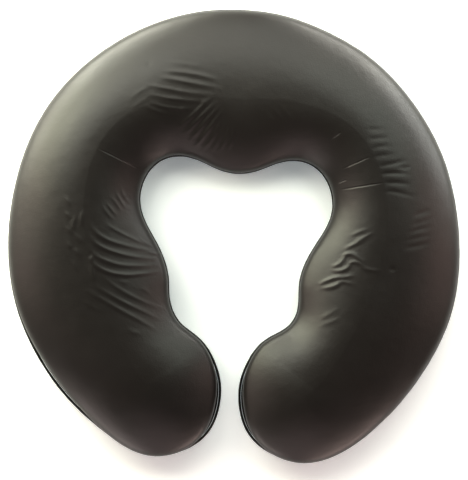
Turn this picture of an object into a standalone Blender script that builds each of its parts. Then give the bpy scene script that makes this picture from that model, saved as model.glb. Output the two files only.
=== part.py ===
"""Face cradle cushion: a horseshoe pad of cast gel, sealed between a formed top film and a flat back film.

Metres, +Z is the face side. The origin is the middle of the footprint, on the underside of the back film.
+Y is the forehead end and -Y is the chin end, where the two arms stop short of each other.
The pad is its own mirror image about X = 0, so every outline is given for the +X half only.
"""

import bmesh
import bpy
import numpy as np

# Overall figures
BEAD_DIAMETER = 0.0016
FLANGE_WIDTH = 0.0020
FILM_THICKNESS = 0.0006
BACK_THICKNESS = 0.0008
CLEARANCE = 0.0003

# The outside of the pad, from the forehead down to where the arm's round end begins (x, y)
OUTER_EDGE = (
    (0.0, 0.1410),
    (0.0270, 0.1388),
    (0.0535, 0.1306),
    (0.0775, 0.1168),
    (0.0985, 0.0980),
    (0.1160, 0.0760),
    (0.1296, 0.0515),
    (0.1383, 0.0250),
    (0.1420, -0.0025),
    (0.1403, -0.0310),
    (0.1330, -0.0580),
    (0.1200, -0.0835),
    (0.1038, -0.1060),
    (0.0860, -0.1235),
)
# Round the end of the arm (x, y)
ARM_END = (
    (0.0665, -0.1362),
    (0.0450, -0.1410),
    (0.0238, -0.1350),
    (0.0100, -0.1210),
    (0.0053, -0.1015),
    (0.0082, -0.0840),
)
# The face hole, from the brow down to the arm's end, one point for each point of OUTER_EDGE (x, y)
INNER_EDGE = (
    (0.0, 0.0377),
    (0.0130, 0.0402),
    (0.0250, 0.0452),
    (0.0375, 0.0470),
    (0.0490, 0.0427),
    (0.0570, 0.0325),
    (0.0598, 0.0190),
    (0.0565, 0.0065),
    (0.0502, -0.0045),
    (0.0440, -0.0165),
    (0.0405, -0.0295),
    (0.0392, -0.0430),
    (0.0320, -0.0567),
    (0.0183, -0.0673),
)
# The top of the pad, one point for each point of OUTER_EDGE (x, y, height)
CROWN = (
    (0.0, 0.0830, 0.0350),
    (0.0195, 0.0835, 0.0351),
    (0.0378, 0.0818, 0.0353),
    (0.0550, 0.0766, 0.0355),
    (0.0705, 0.0670, 0.0358),
    (0.0826, 0.0520, 0.0361),
    (0.0900, 0.0345, 0.0362),
    (0.0928, 0.0155, 0.0362),
    (0.0916, -0.0040, 0.0361),
    (0.0874, -0.0236, 0.0360),
    (0.0810, -0.0428, 0.0359),
    (0.0728, -0.0615, 0.0356),
    (0.0630, -0.0790, 0.0350),
    (0.0520, -0.0945, 0.0342),
)

# Fineness
STEPS = 2
DOME_ROWS = 8

# How full the cross-section is: 2 and 2 would be a quarter ellipse on each side of the crown
FULLNESS_ACROSS = 2.3
FULLNESS_UP = 1.9


def clear_scene():
    for scene_object in list(bpy.data.objects):
        bpy.data.objects.remove(scene_object, do_unlink=True)
    for collection in list(bpy.data.collections):
        bpy.data.collections.remove(collection)


def new_collection(name):
    collection = bpy.data.collections.new(name)
    bpy.context.scene.collection.children.link(collection)
    return collection


def plain_material(name, colour, roughness, metallic=0.0):
    material = bpy.data.materials.new(name)
    material.use_nodes = True
    shader = material.node_tree.nodes["Principled BSDF"]
    shader.inputs["Base Color"].default_value = (*colour, 1.0)
    shader.inputs["Roughness"].default_value = roughness
    shader.inputs["Metallic"].default_value = metallic
    material.diffuse_color = (*colour, 1.0)
    return material


def controls_through(points, closed):
    """The control points of the uniform cubic B-spline that passes through the points."""
    count = len(points)
    weights = 4 * np.eye(count) + np.eye(count, k=1) + np.eye(count, k=-1)
    if closed:
        weights[0, -1] = weights[-1, 0] = 1
    else:
        weights[0, :2] = (6, 0)
        weights[-1, -2:] = (0, 6)
    return np.linalg.solve(weights, 6 * np.array(points))


def spline_span(a, b, c, d, t):
    """The point at t, from 0 to 1, of one span of a uniform cubic B-spline."""
    return (
        (1 - t) ** 3 * a
        + (3 * t**3 - 6 * t**2 + 4) * b
        + (-3 * t**3 + 3 * t**2 + 3 * t + 1) * c
        + t**3 * d
    ) / 6


def smooth_loop(points):
    """A smooth closed line through the points, STEPS samples for each."""
    controls = controls_through(points, closed=True)
    count = len(controls)
    return np.array([
        spline_span(
            controls[index - 1],
            controls[index],
            controls[(index + 1) % count],
            controls[(index + 2) % count],
            step / STEPS,
        )
        for index in range(count)
        for step in range(STEPS)
    ])


def smooth_line(points):
    """A smooth open line from the first point to the last, STEPS samples between neighbours."""
    controls = controls_through(points, closed=False)
    first = 2 * controls[0] - controls[1]
    last = 2 * controls[-1] - controls[-2]
    controls = np.vstack([first, controls, last])
    samples = [
        spline_span(*controls[index:index + 4], step / STEPS)
        for index in range(len(controls) - 3)
        for step in range(STEPS)
    ]
    return np.array(samples + [np.array(points[-1])])


def mirrored(points):
    """The points in reverse order, mirrored about X = 0."""
    return tuple((-point[0], *point[1:]) for point in points[::-1])


def pad_outline():
    """The pad's edge seen from above, clockwise from the middle of the forehead."""
    half = OUTER_EDGE + ARM_END + INNER_EDGE[::-1]
    return smooth_loop(half + mirrored(half[1:-1]))


def crown_line():
    """The top of the pad from the end of the +X arm round to the end of the -X arm."""
    half = CROWN[::-1]
    return smooth_line(half + mirrored(half[:-1]))


def crown_indices():
    """For each sample of the outline, which sample of the crown line its rib rises to."""
    side = (len(CROWN) - 1) * STEPS
    end = (len(ARM_END) + 1) * STEPS
    right_outer = list(range(side, 0, -1))
    right_end = [0] * end
    inner = list(range(0, 2 * side))
    left_end = [2 * side] * end
    left_outer = list(range(2 * side, side, -1))
    return right_outer + right_end + inner + left_end + left_outer


def inset(outline, distance):
    """The closed outline moved inwards. It runs clockwise, so inwards is to the right of its run."""
    along = np.roll(outline, -1, axis=0) - np.roll(outline, 1, axis=0)
    along /= np.linalg.norm(along, axis=1)[:, None]
    inwards = np.column_stack([along[:, 1], -along[:, 0]])
    return outline + distance * inwards


def dome_rows(foot, foot_height, drop):
    """Rings of points from the dome's foot up towards the crown, which lies drop below the pad's own."""
    crown = crown_line()
    tops = crown[crown_indices()]
    rise = tops[:, 2] - drop - foot_height
    rows = []
    for row in range(DOME_ROWS):
        angle = 0.5 * np.pi * row / DOME_ROWS
        reach = 1 - np.cos(angle) ** (2 / FULLNESS_ACROSS)
        lift = np.sin(angle) ** (2 / FULLNESS_UP)
        plan = foot + (tops[:, :2] - foot) * reach
        rows.append(np.column_stack([plan, foot_height + rise * lift]))
    return rows, crown - (0, 0, drop)


def add_ring(mesh, points):
    return [mesh.verts.new(point) for point in points]


def bridge(mesh, lower, upper):
    """Quads between two rings, or triangles where neighbours share a point of the upper one."""
    count = len(lower)
    for index in range(count):
        after = (index + 1) % count
        corners = [lower[index], lower[after], upper[after], upper[index]]
        if corners[2] is corners[3]:
            corners.pop()
        mesh.faces.new(corners)


def add_dome(mesh, foot, foot_height, drop):
    """The domed surface, from its foot to its crown. Returns the ring of its foot."""
    rows, crown = dome_rows(foot, foot_height, drop)
    rings = [add_ring(mesh, row) for row in rows]
    top = add_ring(mesh, crown)
    rings.append([top[index] for index in crown_indices()])
    for lower, upper in zip(rings, rings[1:]):
        bridge(mesh, lower, upper)
    return rings[0]


def level(outline, height):
    return np.column_stack([outline, np.full(len(outline), height)])


def mesh_object(name, mesh, material, collection):
    """Turns the bmesh into a smooth-shaded object whose faces point outwards."""
    bmesh.ops.recalc_face_normals(mesh, faces=mesh.faces)
    data = bpy.data.meshes.new(name)
    mesh.to_mesh(data)
    mesh.free()
    data.materials.append(material)
    data.shade_smooth()
    data.set_sharp_from_angle(angle=0.7)
    made = bpy.data.objects.new(name, data)
    collection.objects.link(made)
    return made


def bead_centre_outline(outline):
    return inset(outline, BEAD_DIAMETER / 2)


def film_outline(outline):
    """Where the two films stop, just inside the fused bead."""
    return inset(outline, BEAD_DIAMETER + CLEARANCE)


def wall_outline(outline):
    """Where the top film leaves its flange and rises."""
    return inset(outline, BEAD_DIAMETER + CLEARANCE + FLANGE_WIDTH)


def gel_outline(outline):
    return inset(outline, BEAD_DIAMETER + CLEARANCE + FLANGE_WIDTH + FILM_THICKNESS + CLEARANCE)


def make_top_skin(outline, material, collection):
    """The formed film: a flat flange, then a wall that rolls over into the domed top. Its height is the pad's."""
    height = BACK_THICKNESS + CLEARANCE + FILM_THICKNESS
    mesh = bmesh.new()
    flange = add_ring(mesh, level(film_outline(outline), height))
    foot = add_dome(mesh, wall_outline(outline), height, 0.0)
    bridge(mesh, flange, foot)
    skin = mesh_object("top_skin", mesh, material, collection)
    shell = skin.modifiers.new("film_thickness", "SOLIDIFY")
    shell.thickness = FILM_THICKNESS
    shell.offset = -1.0
    shell.use_even_offset = True
    return skin


def make_gel_core(outline, material, collection):
    """The cast gel that fills the space between the films."""
    base = BACK_THICKNESS + CLEARANCE
    mesh = bmesh.new()
    foot = add_dome(mesh, gel_outline(outline), base, FILM_THICKNESS + CLEARANCE)
    crown = crown_line()
    spine = add_ring(mesh, level(crown[:, :2], base))
    bridge(mesh, foot, [spine[index] for index in crown_indices()])
    return mesh_object("gel_core", mesh, material, collection)


def closed_curve(name, points, material, collection):
    """A closed line as a curve object, before it is given any thickness."""
    curve = bpy.data.curves.new(name, "CURVE")
    line = curve.splines.new("POLY")
    line.points.add(len(points) - 1)
    for spline_point, point in zip(line.points, points):
        spline_point.co = (*point, 1.0)
    line.use_cyclic_u = True
    curve.materials.append(material)
    made = bpy.data.objects.new(name, curve)
    collection.objects.link(made)
    return made


def make_back_skin(outline, material, collection):
    """The flat film under the gel."""
    points = level(film_outline(outline), BACK_THICKNESS / 2)
    back = closed_curve("back_skin", points, material, collection)
    back.data.dimensions = "2D"
    back.data.fill_mode = "BOTH"
    back.data.extrude = BACK_THICKNESS / 2
    back.location.z = BACK_THICKNESS / 2
    return back


def make_rim_bead(outline, material, collection):
    """The thin bead that the two films melt into, all round the edge."""
    height = BEAD_DIAMETER / 2 + CLEARANCE
    points = level(bead_centre_outline(outline), height)
    bead = closed_curve("rim_bead", points, material, collection)
    bead.data.dimensions = "3D"
    bead.data.bevel_depth = BEAD_DIAMETER / 2
    bead.data.bevel_resolution = 2
    return bead


def make_pad():
    clear_scene()
    pad = new_collection("face_cradle_cushion")
    outline = pad_outline()
    top_film = plain_material("top_film", (0.020, 0.019, 0.018), 0.45)
    back_film = plain_material("back_film", (0.026, 0.025, 0.024), 0.60)
    fused_edge = plain_material("fused_edge", (0.016, 0.015, 0.015), 0.38)
    gel = plain_material("gel", (0.42, 0.40, 0.36), 0.30)
    make_top_skin(outline, top_film, pad)
    make_gel_core(outline, gel, pad)
    make_back_skin(outline, back_film, pad)
    make_rim_bead(outline, fused_edge, pad)


make_pad()
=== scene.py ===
"""Visual model of the face cradle cushion: a gel pad in a satin black film, lying on a pale floor.

The tables below give every place and size; the CAD parts come from model.glb. The film, its fused edge, the
back film and the gel are built here as fine surfaces over the same outline and crown line as the CAD solids,
and replace them.
Lengths in the tables are millimetres; the scene is in metres. +Y is the forehead end, +Z the face side.
"""

import math

import bpy
import numpy as np
from mathutils import Matrix, Vector


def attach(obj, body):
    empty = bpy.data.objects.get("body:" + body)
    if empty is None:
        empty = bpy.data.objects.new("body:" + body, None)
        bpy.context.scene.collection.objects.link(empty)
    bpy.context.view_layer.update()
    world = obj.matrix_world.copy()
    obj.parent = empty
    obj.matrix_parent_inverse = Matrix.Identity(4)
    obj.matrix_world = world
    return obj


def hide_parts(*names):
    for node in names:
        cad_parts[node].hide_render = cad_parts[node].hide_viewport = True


MM = 0.001

# The outside of the +X half, from the forehead down to where the arm's round end begins (x, y)
OUTER_EDGE = (
    (0.0, 141.0), (27.0, 138.8), (53.5, 130.6), (77.5, 116.8), (98.5, 98.0), (116.0, 76.0), (129.6, 51.5),
    (138.3, 25.0), (142.0, -2.5), (140.3, -31.0), (133.0, -58.0), (120.0, -83.5), (103.8, -106.0),
    (86.0, -123.5),
)
# Round the end of the arm (x, y)
ARM_END = ((66.5, -136.2), (45.0, -141.0), (23.8, -135.0), (10.0, -121.0), (5.3, -101.5), (8.2, -84.0))
# The face hole, from the brow down to the arm's end (x, y)
INNER_EDGE = (
    (0.0, 37.7), (13.0, 40.2), (25.0, 45.2), (37.5, 47.0), (49.0, 42.7), (57.0, 32.5), (59.8, 19.0),
    (56.5, 6.5), (50.2, -4.5), (44.0, -16.5), (40.5, -29.5), (39.2, -43.0), (32.0, -56.7), (18.3, -67.3),
)
# The top of the pad (x, y, height)
CROWN = (
    (0.0, 83.0, 35.0), (19.5, 83.5, 35.1), (37.8, 81.8, 35.3), (55.0, 76.6, 35.5), (70.5, 67.0, 35.8),
    (82.6, 52.0, 36.1), (90.0, 34.5, 36.2), (92.8, 15.5, 36.2), (91.6, -4.0, 36.1), (87.4, -23.6, 36.0),
    (81.0, -42.8, 35.9), (72.8, -61.5, 35.6), (63.0, -79.0, 35.0), (52.0, -94.5, 34.2),
)
# How full the section above the wall is, across and upwards, on the outside and in the hole.
# 2 and 2 would be a quarter ellipse. Smaller numbers make a leaner shoulder.
FULLNESS_OUTSIDE = (2.0, 1.2)
FULLNESS_INSIDE = (1.8, 1.1)
# About how far the section above the wall reaches across and upwards, to space its rows evenly
SECTION_REACH = 48.0
SECTION_RISE = 17.0

# The flange: where the films stop and where the wall meets it, in from the edge, and its two faces
FILM_INSET = 1.9
FLANGE_INSETS = (FILM_INSET, 2.4, 2.9, 3.3)
FOOT_INSET = 3.6
FLANGE_TOP = 1.7
FLANGE_UNDERSIDE = 1.15
# Where the wall leans out furthest, in from the edge, and how high that is: outside, and in the hole
WIDEST_OUTSIDE = (1.2, 18.0)
WIDEST_INSIDE = (-0.4, 18.0)
# Where the wall stands more upright and the flange shows (place, spread), and how much of the lean is lost
UPRIGHT_PLACES = (((12.0, -112.0), 26.0), ((-12.0, -112.0), 26.0), ((-110.0, -100.0), 40.0))
LEAN_LOST = 0.7

# How deep the film's inner face and the gel lie under the smooth outer face, and how high the gel's sole is
FILM_DEPTH = 1.2
GEL_DEPTH = 2.6
GEL_SOLE = 1.2
# The back film: its top, its two edge heights and how far its faces stop inside its edge
BACK_TOP = 0.8
BACK_EDGE = (0.15, 0.65)
BACK_INSET = 2.1
# The bead: how far in its centre lies, its radius and its height
BEAD_INSET = 0.85
BEAD_RADIUS = 0.72
BEAD_HEIGHT = 1.05
BEAD_SIDES = 12

# The soft pad doesn't lie quite evenly: pushes in plan, each at a place, by an amount, over a spread
PUSHES = (
    ((-116.0, 84.0), (-3.4, 2.2), 58.0),
    ((-80.0, -128.0), (1.2, 2.0), 38.0),
    ((52.0, 132.0), (-0.5, -1.6), 34.0),
    ((142.0, 12.0), (-1.5, 0.0), 42.0),
    ((38.0, -50.0), (1.6, -1.4), 14.0),
)

# Wrinkles. Each set: its first and last crest as start, middle and end; how many crests; height; breadth.
# The last is None where there is only one. A negative height is a groove.
WRINKLES = (
    # inside of the -X arm: long crests that hook upwards at their outer ends
    (((-79.0, 2.5), (-69.0, -2.5), (-52.5, -9.0)), None, 1, 0.30, 1.2),
    (((-89.5, 4.5), (-78.0, -6.5), (-51.0, -12.0)),
     ((-88.0, -18.5), (-74.5, -26.5), (-47.5, -25.5)), 4, 0.42, 1.25),
    (((-60.0, -4.0), (-55.0, -7.0), (-49.0, -10.0)),
     ((-54.0, -13.0), (-49.0, -14.0), (-43.0, -14.5)), 2, 0.18, 0.9),
    (((-81.5, -28.5), (-64.5, -39.0), (-44.5, -47.5)), None, 1, 0.26, 1.2),
    (((-85.5, -34.0), (-68.5, -43.5), (-45.0, -54.0)),
     ((-89.5, -38.0), (-70.5, -49.0), (-46.5, -60.5)), 2, 0.40, 1.25),
    (((-91.5, -44.0), (-86.0, -47.5), (-80.0, -50.0)),
     ((-65.0, -61.0), (-60.5, -62.0), (-56.0, -63.5)), 2, 0.16, 1.4),
    (((-70.5, -31.5), (-67.0, -32.0), (-63.5, -32.5)),
     ((-57.5, -35.0), (-54.0, -37.0), (-50.5, -39.5)), 2, 0.12, 1.2),
    # beyond their outer ends: short upright ones and faint ripples
    (((-98.5, 7.0), (-99.0, 2.5), (-98.5, -2.0)),
     ((-93.5, 10.5), (-94.0, 6.0), (-94.0, 0.5)), 2, 0.45, 1.0),
    (((-86.5, -15.0), (-86.5, -17.5), (-87.0, -20.0)),
     ((-88.5, -22.0), (-87.0, -27.0), (-85.0, -32.5)), 2, 0.32, 0.9),
    (((-104.5, 18.5), (-102.5, 16.0), (-100.5, 13.0)),
     ((-103.5, -8.0), (-101.5, -10.5), (-100.0, -12.5)), 4, 0.22, 1.1),
    (((-96.5, -4.0), (-94.5, -6.5), (-92.5, -9.0)),
     ((-100.0, -20.0), (-97.5, -22.5), (-95.5, -25.5)), 3, 0.22, 1.1),
    (((-70.5, 25.0), (-68.5, 20.5), (-66.0, 16.5)),
     ((-82.0, 14.0), (-79.0, 10.0), (-75.0, 6.5)), 5, 0.18, 1.0),
    # above the brow, on the -X side: long level crests, then slanting ones
    (((-45.5, 97.5), (-31.0, 97.5), (-14.5, 94.0)),
     ((-48.5, 93.0), (-32.0, 91.5), (-13.0, 88.5)), 2, 0.38, 1.2),
    (((-57.0, 88.5), (-36.0, 86.0), (-15.5, 84.5)),
     ((-53.5, 78.0), (-40.5, 75.5), (-27.5, 75.5)), 3, 0.36, 1.2),
    (((-57.0, 76.0), (-50.5, 73.0), (-42.0, 71.5)), None, 1, 0.20, 1.3),
    (((-66.0, 79.0), (-61.0, 84.0), (-54.0, 88.0)),
     ((-65.0, 72.0), (-60.5, 77.5), (-53.0, 83.0)), 2, 0.13, 1.3),
    (((-46.0, 102.5), (-34.0, 103.0), (-24.0, 101.5)), None, 1, 0.14, 1.3),
    (((-21.5, 82.5), (-23.0, 80.0), (-24.0, 77.5)), None, 1, 0.22, 1.1),
    (((-17.5, 83.0), (-26.0, 74.5), (-36.0, 64.0)),
     ((-11.0, 75.0), (-17.5, 65.0), (-27.0, 53.0)), 4, 0.50, 1.0),
    (((-11.0, 70.0), (-15.0, 60.5), (-22.0, 50.5)),
     ((-3.5, 66.0), (-4.5, 58.0), (-7.0, 50.5)), 4, 0.30, 1.0),
    (((-34.0, 77.0), (-34.5, 75.0), (-36.0, 73.0)), None, 1, 0.2, 1.0),
    (((16.0, 75.0), (20.0, 71.5), (23.5, 68.0)),
     ((24.0, 81.0), (29.5, 74.0), (34.0, 69.0)), 3, 0.15, 1.2),
    # outside of the +X arm
    (((78.5, 67.0), (83.0, 67.5), (90.0, 67.5)),
     ((81.5, 50.0), (88.5, 52.0), (97.0, 52.0)), 4, -0.20, 1.25),
    (((86.0, 44.5), (93.0, 46.5), (103.5, 49.0)),
     ((91.0, 28.5), (98.5, 29.0), (109.0, 27.0)), 4, -0.32, 1.2),
    (((99.0, 44.5), (102.5, 45.0), (106.0, 45.5)), None, 1, -0.25, 1.0),
    (((110.0, 15.0), (115.0, 16.5), (121.0, 19.0)),
     ((105.5, -5.0), (113.0, -3.0), (122.0, -1.0)), 5, -0.24, 1.3),
    # inside of the +X arm: short irregular ones
    (((70.7, 2.2), (76.1, 4.2), (81.0, 5.2)), None, 1, 0.24, 1.1),
    (((73.8, -1.4), (78.6, 0.6), (84.0, 3.4)), None, 1, 0.26, 1.1),
    (((68.0, -6.5), (73.2, -3.2), (81.0, -0.4)), None, 1, 0.28, 1.15),
    (((59.7, -17.3), (63.9, -15.9), (68.4, -10.4)), None, 1, 0.38, 1.2),
    (((66.4, -11.4), (71.0, -9.5), (75.8, -11.0)), None, 1, 0.40, 1.15),
    (((73.5, -10.3), (76.2, -11.7), (80.0, -14.4)), None, 1, 0.25, 1.1),
    (((60.5, -20.3), (66.4, -19.5), (71.6, -15.4)), None, 1, 0.48, 1.2),
    (((69.6, -16.2), (75.4, -14.8), (80.4, -17.8)), None, 1, 0.40, 1.15),
    (((77.5, -16.8), (82.8, -18.2), (90.0, -19.4)), None, 1, 0.25, 1.2),
    (((52.4, -28.8), (58.7, -25.9), (66.6, -22.3)), None, 1, 0.48, 1.25),
    (((61.5, -25.8), (66.6, -23.8), (73.0, -22.8)), None, 1, 0.32, 1.1),
    (((54.0, -31.2), (60.7, -30.1), (65.8, -26.5)), None, 1, 0.40, 1.2),
    (((63.6, -27.8), (67.9, -26.8), (74.0, -29.4)), None, 1, 0.25, 1.15),
    (((53.5, -49.5), (59.0, -47.0), (65.0, -43.0)),
     ((53.5, -54.0), (60.0, -51.5), (65.5, -49.5)), 2, 0.17, 1.4),
)
# How far from a crest its wrinkle is still reckoned
WRINKLE_REACH = 8.0

# Small dents (place, depth, radius)
DENTS = (((-56.0, 102.0), 0.25, 1.3), ((97.0, -18.0), 0.35, 1.3), ((-87.5, -16.0), 0.2, 1.6))

# Hairline creases in the film (from, to)
CREASES = (
    ((-84.5, 48.5), (-61.0, 38.0)),
    ((63.5, 29.7), (90.0, 34.7)),
    ((64.5, 42.5), (81.0, 50.5)),
    ((62.0, 33.7), (67.2, 36.0)),
    ((56.5, 60.3), (62.5, 65.0)),
)
CREASE_HALF_WIDTH = 0.8

# Lights: name, heading and elevation in degrees, distance and size in metres, power, colour
LIGHTS = (
    ("window_top", 90, 45, 1.5, (0.9, 0.9), 9.5, (0.99, 1.0, 0.93)),
    ("wall_left", 180, 25, 1.5, (0.9, 0.9), 6.2, (1.0, 0.81, 0.75)),
    ("high_left", 135, 45, 0.6, (0.36, 0.36), 1.95, (0.98, 1.0, 0.91)),
    ("high_right", 45, 45, 0.6, (0.36, 0.36), 1.2, (0.90, 1.0, 0.90)),
    ("near_left", 150, 25, 0.6, (0.36, 0.36), 2.8, (0.97, 1.0, 0.76)),
    ("card_left", 150, 8, 0.6, (0.36, 0.18), 1.85, (1.0, 0.99, 0.87)),
    ("card_top_left", 120, 8, 0.6, (0.36, 0.18), 4.1, (0.99, 1.0, 0.88)),
    ("card_top_right", 60, 8, 0.6, (0.36, 0.18), 2.9, (1.0, 0.99, 0.92)),
    ("card_right", 30, 8, 0.6, (0.36, 0.18), 1.95, (0.98, 1.0, 0.96)),
    ("warm_right", 0, 25, 0.6, (0.36, 0.36), 0.75, (1.0, 0.72, 0.66)),
    ("warm_front", 270, 25, 0.6, (0.36, 0.36), 0.7, (1.0, 0.80, 0.80)),
    ("warm_card_left", 240, 8, 0.6, (0.36, 0.18), 1.3, (1.0, 0.88, 0.85)),
    ("warm_card_right", 300, 8, 0.6, (0.36, 0.18), 1.5, (1.0, 0.79, 0.73)),
)

# The camera looks straight down: its height, place (x, y) and the picture's height, in metres, and its turn
CAMERA_HEIGHT = 1.5
CAMERA_PLACE = (-0.0008, -0.0036)
SHOWN_HEIGHT = 0.3010
CAMERA_TURN = 2.08
# The floor's height and its reach each way, in metres
FLOOR_HEIGHT = -0.0002
FLOOR_REACH = 3.0
# Below 1, so that the film's dark tones deepen while the burnt-out floor stays white
VIEW_GAMMA = 0.8


def spline_span(a, b, c, d, t):
    """The points at t, from 0 to 1, of one span of a uniform cubic B-spline."""
    t = t[:, None]
    return (
        (1 - t) ** 3 * a
        + (3 * t**3 - 6 * t**2 + 4) * b
        + (-3 * t**3 + 3 * t**2 + 3 * t + 1) * c
        + t**3 * d
    ) / 6


def controls_through(points, closed):
    """The control points of the uniform cubic B-spline that passes through the points."""
    count = len(points)
    weights = 4 * np.eye(count) + np.eye(count, k=1) + np.eye(count, k=-1)
    if closed:
        weights[0, -1] = weights[-1, 0] = 1
    else:
        weights[0, :2] = (6, 0)
        weights[-1, -2:] = (0, 6)
    return np.linalg.solve(weights, 6 * np.array(points, float))


def mirrored(points):
    """The points in reverse order, mirrored about X = 0."""
    return tuple((-point[0], *point[1:]) for point in points[::-1])


class Layout:
    """How finely the pad is sampled: steps per table point along the arms, and round the arms' ends."""

    def __init__(self, along, round_end):
        side = len(CROWN) - 1
        end = len(ARM_END) + 1
        self.spans = [along] * side + [round_end] * end + [along] * 2 * side
        self.spans += [round_end] * end + [along] * side
        reach = side * along
        right_outer = list(range(reach, 0, -1))
        inner = list(range(0, 2 * reach))
        left_outer = list(range(2 * reach, reach, -1))
        self.along = along
        # Which crown point each outline point's section rises to
        self.tops = np.array(
            right_outer + [0] * end * round_end + inner + [2 * reach] * end * round_end + left_outer
        )
        # 1 along the outside, 0 round the arms' ends and in the hole
        inside = 2 * (reach + end * round_end)
        self.outside = np.array([1.0] * reach + [0.0] * inside + [1.0] * reach)

    def outside_share(self):
        """How much of the outside's section each point of the outline has: 1 outside, 0 in the hole."""
        return soften(self.outside, 8 * self.along)

    def outline(self):
        """The pad's edge seen from above, clockwise from the middle of the forehead."""
        half = OUTER_EDGE + ARM_END + INNER_EDGE[::-1]
        controls = controls_through(half + mirrored(half[1:-1]), closed=True)
        count = len(controls)
        return np.vstack([
            spline_span(
                controls[index - 1],
                controls[index],
                controls[(index + 1) % count],
                controls[(index + 2) % count],
                np.arange(steps) / steps,
            )
            for index, steps in enumerate(self.spans)
        ])

    def crown(self):
        """The top of the pad from the end of the +X arm round to the end of the -X arm."""
        half = CROWN[::-1]
        points = half + mirrored(half[:-1])
        controls = controls_through(points, closed=False)
        first = 2 * controls[0] - controls[1]
        last = 2 * controls[-1] - controls[-2]
        controls = np.vstack([first, controls, last])
        steps = np.arange(self.along) / self.along
        spans = [spline_span(*controls[index:index + 4], steps) for index in range(len(controls) - 3)]
        return np.vstack(spans + [np.array([points[-1]], float)])


def inset(outline, distance):
    """The clockwise outline moved inwards, to the right of its run, by one distance or one for each point."""
    along = np.roll(outline, -1, axis=0) - np.roll(outline, 1, axis=0)
    along /= np.linalg.norm(along, axis=1)[:, None]
    return outline + np.reshape(distance, (-1, 1)) * np.column_stack([along[:, 1], -along[:, 0]])


def level(outline, height):
    return np.column_stack([outline, np.full(len(outline), height)])


def soften(values, times):
    """Values round the outline, each averaged with its neighbours many times."""
    for _ in range(times):
        values = (np.roll(values, 1) + values + np.roll(values, -1)) / 3
    return values


def even_turns(fullness, rows):
    """Angles that space the rows of a section evenly along its surface."""
    turn = np.linspace(0, 0.5 * np.pi, 600)
    reach = 1 - np.cos(turn) ** (2 / fullness[0])
    lift = np.sin(turn) ** (2 / fullness[1])
    steps = np.hypot(np.diff(reach) * SECTION_REACH, np.diff(lift) * SECTION_RISE)
    travelled = np.concatenate([[0], np.cumsum(steps)]) / steps.sum()
    return np.interp(np.linspace(0, 1, rows + 1), travelled, turn)


def blend(share, outside, inside):
    return share * outside + (1 - share) * inside


def dome(layout, foot, foot_height, rows):
    """A grid of rows from the foot outline up to the crown. The last row repeats the crown line's points."""
    share = layout.outside_share()
    turn = blend(
        share,
        even_turns(FULLNESS_OUTSIDE, rows)[:, None],
        even_turns(FULLNESS_INSIDE, rows)[:, None],
    )
    reach = 1 - np.cos(turn) ** (2 / blend(share, FULLNESS_OUTSIDE[0], FULLNESS_INSIDE[0]))
    lift = np.sin(turn) ** (2 / blend(share, FULLNESS_OUTSIDE[1], FULLNESS_INSIDE[1]))
    tops = layout.crown()[layout.tops]
    plan = foot + (tops[:, :2] - foot) * reach[:, :, None]
    height = foot_height + (tops[:, 2] - foot_height) * lift
    return np.dstack([plan, height])


def widest(layout):
    """Where the wall leans out furthest at each point of the outline: in from the edge, and how high."""
    outline = layout.outline()
    share = layout.outside_share()
    lean = FOOT_INSET - blend(share, WIDEST_OUTSIDE[0], WIDEST_INSIDE[0])
    for place, spread in UPRIGHT_PLACES:
        gap = np.linalg.norm(outline - place, axis=1)
        lean *= 1 - LEAN_LOST * np.exp(-((gap / spread) ** 2))
    return FOOT_INSET - lean, blend(share, WIDEST_OUTSIDE[1], WIDEST_INSIDE[1])


def bulging_wall(layout, wall_rows, rows):
    """Rows from the flange up to where the wall is widest, then the dome's rows above it."""
    outline = layout.outline()
    distance, height = widest(layout)
    rise = height - FLANGE_TOP
    wall = []
    at_foot = np.full(len(outline), FOOT_INSET)
    # A cubic Bezier curve that leaves the flange nearly upright and ends upright where it is widest
    for t in np.linspace(0, 1, wall_rows + 1)[:-1]:
        weights = ((1 - t) ** 3, 3 * (1 - t) ** 2 * t, 3 * (1 - t) * t**2, t**3)
        inwards = np.dot(weights, [at_foot, at_foot - 0.1, distance, distance])
        upwards = np.dot(weights, [0 * rise, 0.25 * rise, 0.55 * rise, rise])
        wall.append(level(inset(outline, inwards), FLANGE_TOP + upwards))
    foot = inset(outline, distance)
    return np.concatenate([np.array(wall), dome(layout, foot, height, rows)])


def rounded(grid, times):
    """The grid with its shoulder rounded over. The first and last rows stay where they are."""
    for _ in range(times):
        grid[1:-1] = (grid[:-2] + 2 * grid[1:-1] + grid[2:]) / 4
    return grid


def grid_normals(grid):
    """The outward direction at each point of a grid of rows. The crown row's is straight up."""
    around = np.roll(grid, -1, axis=1) - np.roll(grid, 1, axis=1)
    up = np.gradient(grid, axis=0)
    normals = np.cross(up, around)
    normals /= np.linalg.norm(normals, axis=2)[:, :, None] + 1e-12
    normals[-1] = (0, 0, 1)
    return normals


def lowered(grid, depth):
    """The surface that lies the depth below the grid's."""
    return grid - depth * grid_normals(grid)


def waves(points, length, seed):
    """Smooth unevenness from -1 to 1, with features about length apart."""
    chance = np.random.default_rng(seed)
    total = np.zeros(points.shape[:-1])
    for _ in range(7):
        heading = chance.uniform(0, 2 * np.pi)
        pitch = length * chance.uniform(0.7, 1.5)
        phase = chance.uniform(0, 2 * np.pi)
        run = points[..., 0] * np.cos(heading) + points[..., 1] * np.sin(heading)
        total += np.sin(2 * np.pi * run / pitch + phase)
    return total / 7


def crest_curve(start, middle, end):
    """A short curve through three points."""
    t = np.linspace(0, 1, 13)[:, None]
    start, middle, end = np.array(start, float), np.array(middle, float), np.array(end, float)
    bend = 2 * middle - 0.5 * (start + end)
    return (1 - t) ** 2 * start + 2 * t * (1 - t) * bend + t**2 * end


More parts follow.
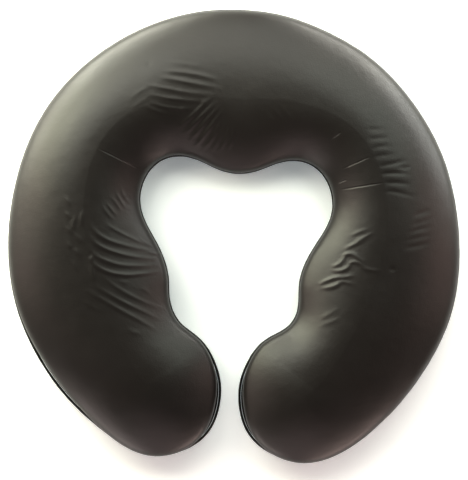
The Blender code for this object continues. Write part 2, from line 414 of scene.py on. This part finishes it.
def distance_to_curve(plan, curve):
    """For each point, how far it is from the curve and how far along the curve its nearest point lies."""
    nearest = np.full(len(plan), 1e9)
    where = np.zeros(len(plan))
    for index, (a, b) in enumerate(zip(curve, curve[1:])):
        run = b - a
        t = np.clip((plan - a) @ run / (run @ run), 0, 1)
        gap = np.linalg.norm(plan - a - t[:, None] * run, axis=1)
        closer = gap < nearest
        nearest[closer] = gap[closer]
        where[closer] = (index + t[closer]) / (len(curve) - 1)
    return nearest, where


def wrinkle_crests():
    """Each crest's curve, height and breadth, with the small differences that real wrinkles have."""
    chance = np.random.default_rng(11)
    for first, last, count, height, breadth in WRINKLES:
        first = np.array(first, float)
        last = first if last is None else np.array(last, float)
        for number in range(count):
            share = number / max(1, count - 1)
            points = first + (last - first) * share + chance.normal(0, 0.35, (3, 2))
            crest_height = height * chance.uniform(0.95, 1.35)
            yield crest_curve(*points), crest_height, breadth * chance.uniform(0.8, 1.0)


def relief(points):
    """How far the film stands off its smooth shape at each point: wrinkles, dents and slight unevenness."""
    height = 0.16 * waves(points, length=55, seed=3) + 0.035 * waves(points, length=13, seed=5)
    # The plan is wavered, so that the wrinkles' runs waver too
    flat = points[..., :2].reshape(-1, 2).copy()
    flat[:, 1] += 0.45 * waves(flat, length=22, seed=41)
    for curve, crest_height, breadth in wrinkle_crests():
        low, high = curve.min(axis=0) - WRINKLE_REACH, curve.max(axis=0) + WRINKLE_REACH
        near = np.flatnonzero(((flat > low) & (flat < high)).all(axis=1))
        gap, where = distance_to_curve(flat[near], curve)
        fade = np.sin(np.pi * np.clip(where, 0.03, 0.97)) ** 0.7
        height.reshape(-1)[near] += crest_height * fade * np.exp(-((gap / breadth) ** 2))
    for place, depth, radius in DENTS:
        gap = np.linalg.norm(points[..., :2] - place, axis=-1)
        height -= depth * np.exp(-((gap / radius) ** 2))
    return height


def settle(points):
    """The way the soft pad lies: the pushes in plan, each fading with distance."""
    moved = points.copy()
    for place, push, spread in PUSHES:
        gap = np.linalg.norm(points[..., :2] - place, axis=-1)
        moved[..., :2] += np.exp(-((gap / spread) ** 2))[..., None] * push
    return moved


def flange_lift(points):
    """The narrow flange isn't dead flat: its slight rise and fall."""
    return 0.10 * waves(points, length=38, seed=21)


def ring_faces(lower, upper):
    """Faces between two rings of vertex numbers, facing out. Where upper points coincide, triangles."""
    after_lower, after_upper = np.roll(lower, -1), np.roll(upper, -1)
    faces = []
    for a, b, c, d in zip(lower, upper, after_upper, after_lower):
        faces.append((a, b, d) if b == c else (a, b, c, d))
    return faces


class Shell:
    """Collects rows of points and the faces between them."""

    def __init__(self):
        self.points = []
        self.faces = []
        self.size = 0

    def add_row(self, row):
        """Adds a row of points and returns their numbers."""
        self.points.append(row)
        numbers = np.arange(self.size, self.size + len(row))
        self.size += len(row)
        return numbers

    def add_grid(self, grid, layout, flipped=False):
        """Adds a grid of rows that closes on its crown line. Returns the numbers of its first row."""
        rings = [self.add_row(row) for row in grid[:-1]]
        crown_count = layout.tops.max() + 1
        crown = np.zeros((crown_count, 3))
        crown[layout.tops] = grid[-1]
        rings.append(self.add_row(crown)[layout.tops])
        for lower, upper in zip(rings, rings[1:]):
            self.join(lower, upper, flipped)
        return rings[0]

    def join(self, lower, upper, flipped=False):
        """Adds the faces between two rows. Flipped, they face the other way."""
        faces = ring_faces(lower, upper)
        self.faces += [face[::-1] for face in faces] if flipped else faces

    def piece(self, name, material):
        """Makes the mesh object, settled and in metres."""
        points = settle(np.vstack(self.points)) * MM
        mesh = bpy.data.meshes.new(name)
        mesh.from_pydata(points.tolist(), [], self.faces)
        mesh.materials.append(material)
        mesh.shade_smooth()
        mesh.set_sharp_from_angle(angle=0.9)
        made = bpy.data.objects.new(name, mesh)
        bpy.context.scene.collection.objects.link(made)
        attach(made, "root")
        return made


def make_top_film(material):
    """The formed film: flange, bulging wall, wrinkled dome, and its plain inner face."""
    layout = Layout(along=22, round_end=9)
    outline = layout.outline()
    surface = rounded(bulging_wall(layout, wall_rows=12, rows=50), times=14)
    surface += relief(surface)[..., None] * grid_normals(surface)
    flange = [level(inset(outline, distance), FLANGE_TOP) for distance in FLANGE_INSETS]
    for row in flange:
        row[:, 2] += flange_lift(row)
    inner = lowered(rounded(bulging_wall(layout, wall_rows=3, rows=6), times=1), FILM_DEPTH)
    shell = Shell()
    foot = shell.add_grid(surface, layout)
    rings = [shell.add_row(row) for row in flange] + [foot]
    for lower, upper in zip(rings, rings[1:]):
        shell.join(lower, upper)
    hidden = shell.add_grid(inner, layout, flipped=True)
    under = shell.add_row(level(inset(outline, FILM_INSET), FLANGE_UNDERSIDE))
    shell.join(under, hidden, flipped=True)
    shell.join(under, rings[0])
    film = shell.piece("formed_film", material)
    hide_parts("top_skin")


def flat_grid(base, middle, height, shares):
    """A level grid from the base outline to the middle line, one row for each share of the way."""
    return np.array([level(base + (middle - base) * share, height) for share in shares])


def make_back_film(material):
    """The flat film that closes the back, with its edge just inside the bead."""
    layout = Layout(along=8, round_end=8)
    outline = layout.outline()
    middle = layout.crown()[layout.tops][:, :2]
    shell = Shell()
    edge_low, edge_high = [shell.add_row(level(inset(outline, FILM_INSET), height)) for height in BACK_EDGE]
    base = inset(outline, BACK_INSET)
    under = flat_grid(base, middle, 0.0, (0.0, 0.1, 0.4, 0.7, 1.0))
    over = flat_grid(base, middle, BACK_TOP, (0.0, 0.5, 1.0))
    low = shell.add_grid(under, layout, flipped=True)
    high = shell.add_grid(over, layout)
    shell.join(low, edge_low)
    shell.join(edge_low, edge_high)
    shell.join(edge_high, high)
    film = shell.piece("flat_back_film", material)
    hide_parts("back_skin")


def make_gel(material):
    """The gel body that fills the space between the films."""
    layout = Layout(along=6, round_end=5)
    top = lowered(rounded(bulging_wall(layout, wall_rows=4, rows=14), times=2), GEL_DEPTH)
    under = flat_grid(top[0, :, :2], top[-1, :, :2], GEL_SOLE, (0.0, 0.5, 1.0))
    shell = Shell()
    foot = shell.add_grid(top, layout)
    sole = shell.add_grid(under, layout, flipped=True)
    shell.join(sole, foot)
    gel = shell.piece("gel_body", material)
    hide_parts("gel_core")


def make_bead(material):
    """The melted bead round the cut edge, a little uneven along its run."""
    layout = Layout(along=12, round_end=12)
    outline = layout.outline()
    centre = inset(outline, BEAD_INSET)
    outwards = inset(outline, 0.0) - inset(outline, 1.0)
    flat = level(outline, 0)
    radius = BEAD_RADIUS + 0.09 * waves(flat, length=9, seed=31) + 0.05 * waves(flat, length=3.5, seed=32)
    height = BEAD_HEIGHT + flange_lift(flat)
    shell = Shell()
    rings = []
    for number in range(BEAD_SIDES):
        angle = 2 * np.pi * number / BEAD_SIDES
        plan = centre + outwards * (radius * math.cos(angle))[:, None]
        rings.append(shell.add_row(np.column_stack([plan, height + radius * math.sin(angle)])))
    for lower, upper in zip(rings, rings[1:] + rings[:1]):
        shell.join(lower, upper)
    bead = shell.piece("melted_bead", material)
    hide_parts("rim_bead")


class Nodes:
    """A short way to write a material's nodes."""

    def __init__(self, name):
        self.material = bpy.data.materials.new(name)
        self.material.use_nodes = True
        self.tree = self.material.node_tree
        self.shader = self.tree.nodes["Principled BSDF"]
        self.place = self.add("ShaderNodeTexCoord").outputs["Object"]

    def add(self, kind, **settings):
        node = self.tree.nodes.new(kind)
        for key, value in settings.items():
            setattr(node, key, value)
        return node

    def link(self, source, target):
        self.tree.links.new(source, target)

    def feed(self, socket, value):
        """Links a socket, or sets a plain value."""
        if isinstance(value, bpy.types.NodeSocket):
            self.link(value, socket)
        else:
            socket.default_value = value

    def maths(self, operation, *values):
        node = self.add("ShaderNodeMath", operation=operation)
        for socket, value in zip(node.inputs, values):
            self.feed(socket, value)
        return node.outputs["Value"]

    def vector(self, operation, *values):
        node = self.add("ShaderNodeVectorMath", operation=operation)
        for socket, value in zip(node.inputs, values):
            self.feed(socket, value)
        return node

    def noise(self, scale, detail, roughness=0.5):
        node = self.add("ShaderNodeTexNoise")
        self.link(self.place, node.inputs["Vector"])
        node.inputs["Scale"].default_value = scale
        node.inputs["Detail"].default_value = detail
        node.inputs["Roughness"].default_value = roughness
        return node.outputs["Fac"]

    def cells(self, scale, feature):
        """A cell pattern's distances."""
        node = self.add("ShaderNodeTexVoronoi", feature=feature)
        self.link(self.place, node.inputs["Vector"])
        node.inputs["Scale"].default_value = scale
        return node.outputs["Distance"]

    def spread(self, value, low, high, to_low, to_high):
        """The value's range from low to high, stretched to the range from to_low to to_high."""
        node = self.add("ShaderNodeMapRange")
        for socket, number in zip(node.inputs, (value, low, high, to_low, to_high)):
            self.feed(socket, number)
        return node.outputs["Result"]

    def colours(self, value, *stops):
        """A colour ramp over the value. Each stop is a position and a colour."""
        ramp = self.add("ShaderNodeValToRGB")
        elements = ramp.color_ramp.elements
        while len(elements) < len(stops):
            elements.new(0.5)
        for element, (position, colour) in zip(elements, stops):
            element.position = position
            element.color = (*colour, 1.0)
        self.link(value, ramp.inputs["Fac"])
        return ramp.outputs["Color"]

    def bump(self, height, strength, distance, below=None):
        node = self.add("ShaderNodeBump")
        node.inputs["Strength"].default_value = strength
        node.inputs["Distance"].default_value = distance
        self.link(height, node.inputs["Height"])
        if below:
            self.link(below, node.inputs["Normal"])
        return node.outputs["Normal"]

    def set(self, **sockets):
        for name, value in sockets.items():
            self.feed(self.shader.inputs[name.replace("_", " ")], value)


def crease_depth(nodes):
    """Thin grooves along the creases, deepest in the middle and fading out at both ends."""
    total = 0.0
    for start, end in CREASES:
        start, end = [settle(np.array([[*place, 0.0]]))[0] * MM for place in (start, end)]
        length = float(np.linalg.norm(end - start))
        along = (end - start) / length
        aside = (-along[1], along[0], 0.0)
        offset = nodes.vector("SUBTRACT", nodes.place, tuple(start)).outputs["Vector"]
        run = nodes.vector("DOT_PRODUCT", offset, tuple(along)).outputs["Value"]
        side = nodes.vector("DOT_PRODUCT", offset, aside).outputs["Value"]
        inside = nodes.spread(run, 0.0, 0.25 * length, 0.0, 1.0)
        outside = nodes.spread(run, 0.75 * length, length, 1.0, 0.0)
        depth = nodes.spread(nodes.maths("ABSOLUTE", side), 0.0, CREASE_HALF_WIDTH * MM, 1.0, 0.0)
        crease = nodes.maths("MULTIPLY", depth, nodes.maths("MULTIPLY", inside, outside))
        total = nodes.maths("ADD", total, crease)
    return total


def film_material():
    """Satin black film: fine grain, faint crazing, soft changes of tone and polish, hairline creases."""
    nodes = Nodes("satin_black_film")
    tone = nodes.noise(16, 3)
    colour = nodes.colours(tone, (0.30, (0.0170, 0.0150, 0.0138)), (0.70, (0.0220, 0.0190, 0.0172)))
    polish = nodes.noise(42, 5, 0.6)
    cracks = nodes.spread(nodes.cells(620, "DISTANCE_TO_EDGE"), 0.0, 0.12, 0.0, 1.0)
    normal = nodes.bump(nodes.maths("MULTIPLY", crease_depth(nodes), -1.0), 1.0, 0.0002)
    normal = nodes.bump(nodes.noise(240, 3), 0.3, 0.0003, normal)
    normal = nodes.bump(cracks, 0.12, 0.00006, normal)
    normal = nodes.bump(nodes.noise(1500, 2), 0.5, 0.0001, normal)
    nodes.set(Base_Color=colour, Roughness=nodes.spread(polish, 0.3, 0.7, 0.35, 0.43), Normal=normal)
    nodes.set(IOR=1.5)
    return nodes.material


def bead_material():
    """The same film once melted: darker and glossier, with a slight ripple."""
    nodes = Nodes("melted_black_film")
    tone = nodes.noise(120, 3)
    colour = nodes.colours(tone, (0.3, (0.013, 0.012, 0.0115)), (0.7, (0.020, 0.0185, 0.0175)))
    normal = nodes.bump(nodes.noise(900, 3), 0.5, 0.0002)
    nodes.set(Base_Color=colour, Roughness=nodes.spread(tone, 0.3, 0.7, 0.28, 0.42), Normal=normal)
    return nodes.material


def back_material():
    """Matte black film with a fine moulded grain."""
    nodes = Nodes("matte_black_film")
    tone = nodes.noise(22, 4)
    colour = nodes.colours(tone, (0.3, (0.022, 0.021, 0.020)), (0.7, (0.031, 0.030, 0.028)))
    normal = nodes.bump(nodes.cells(1100, "SMOOTH_F1"), 0.35, 0.0002)
    nodes.set(Base_Color=colour, Roughness=nodes.spread(tone, 0.3, 0.7, 0.55, 0.68), Normal=normal)
    return nodes.material


def gel_material():
    """Cloudy soft gel with a few fine bubbles."""
    nodes = Nodes("cloudy_gel")
    cloud = nodes.noise(35, 4)
    colour = nodes.colours(cloud, (0.3, (0.40, 0.37, 0.31)), (0.7, (0.52, 0.49, 0.43)))
    dimples = nodes.spread(nodes.cells(240, "F1"), 0.0, 0.18, 0.0, 1.0)
    normal = nodes.bump(dimples, 0.3, 0.0004)
    nodes.set(Base_Color=colour, Roughness=nodes.spread(cloud, 0.3, 0.7, 0.22, 0.34), Normal=normal)
    nodes.set(Subsurface_Weight=0.4, Subsurface_Scale=0.01)
    return nodes.material


def floor_material():
    """Plain pale sweep with a barely visible tooth."""
    nodes = Nodes("pale_floor")
    tone = nodes.noise(6, 3)
    colour = nodes.colours(tone, (0.2, (0.90, 0.90, 0.895)), (0.8, (0.93, 0.93, 0.925)))
    normal = nodes.bump(nodes.noise(700, 2), 0.05, 0.0002)
    nodes.set(Base_Color=colour, Roughness=0.75, Normal=normal)
    nodes.set(Emission_Color=(0.85, 0.98, 1.0, 1.0), Emission_Strength=0.27)
    return nodes.material


def make_floor():
    mesh = bpy.data.meshes.new("floor")
    signs = ((-1, -1), (1, -1), (1, 1), (-1, 1))
    corners = [(FLOOR_REACH * x, FLOOR_REACH * y, FLOOR_HEIGHT) for x, y in signs]
    mesh.from_pydata(corners, [], [(0, 1, 2, 3)])
    mesh.materials.append(floor_material())
    floor = bpy.data.objects.new("floor", mesh)
    bpy.context.scene.collection.objects.link(floor)


def softbox(name, heading, elevation, distance, size, power, colour):
    """An area light of a width and height, aimed at the pad. Heading is its side: 0 is +X, 90 is +Y."""
    light = bpy.data.lights.new(name, "AREA")
    light.shape = "RECTANGLE"
    light.size, light.size_y = size
    light.energy = power
    light.color = colour
    heading, elevation = math.radians(heading), math.radians(elevation)
    away = Vector((
        math.cos(heading) * math.cos(elevation),
        math.sin(heading) * math.cos(elevation),
        math.sin(elevation),
    ))
    made = bpy.data.objects.new(name, light)
    made.location = away * distance
    made.rotation_mode = "QUATERNION"
    made.rotation_quaternion = away.to_track_quat("Z", "Y")
    made.visible_camera = False
    bpy.context.scene.collection.objects.link(made)


def make_lights():
    """Soft lights and low cards from the forehead and -X sides.

    A weak warm fill comes from +X and the chin end.
    """
    for name, heading, elevation, distance, size, power, colour in LIGHTS:
        softbox(name, heading, elevation, distance, size, power, colour)


def make_camera():
    """Straight down on the pad, turned so that the pad sits slightly clockwise in the picture."""
    camera = bpy.data.cameras.new("camera")
    camera.sensor_width = 36
    camera.lens = camera.sensor_width * CAMERA_HEIGHT / SHOWN_HEIGHT
    camera.dof.use_dof = False
    camera.clip_end = 20
    made = bpy.data.objects.new("camera", camera)
    place = Matrix.Translation((*CAMERA_PLACE, CAMERA_HEIGHT))
    made.matrix_world = place @ Matrix.Rotation(math.radians(CAMERA_TURN), 4, "Z")
    bpy.context.scene.collection.objects.link(made)
    bpy.context.scene.camera = made


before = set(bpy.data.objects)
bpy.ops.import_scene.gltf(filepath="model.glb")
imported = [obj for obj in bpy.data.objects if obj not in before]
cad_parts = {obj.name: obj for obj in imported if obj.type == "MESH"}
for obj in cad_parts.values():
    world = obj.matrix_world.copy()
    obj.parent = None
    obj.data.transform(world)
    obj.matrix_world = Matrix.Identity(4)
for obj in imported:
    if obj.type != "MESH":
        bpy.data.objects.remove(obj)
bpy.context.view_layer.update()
make_camera()
make_lights()
make_floor()
make_top_film(film_material())
make_bead(bead_material())
make_back_film(back_material())
make_gel(gel_material())
bpy.context.scene.view_settings.view_transform = "Standard"
bpy.context.scene.view_settings.gamma = VIEW_GAMMA
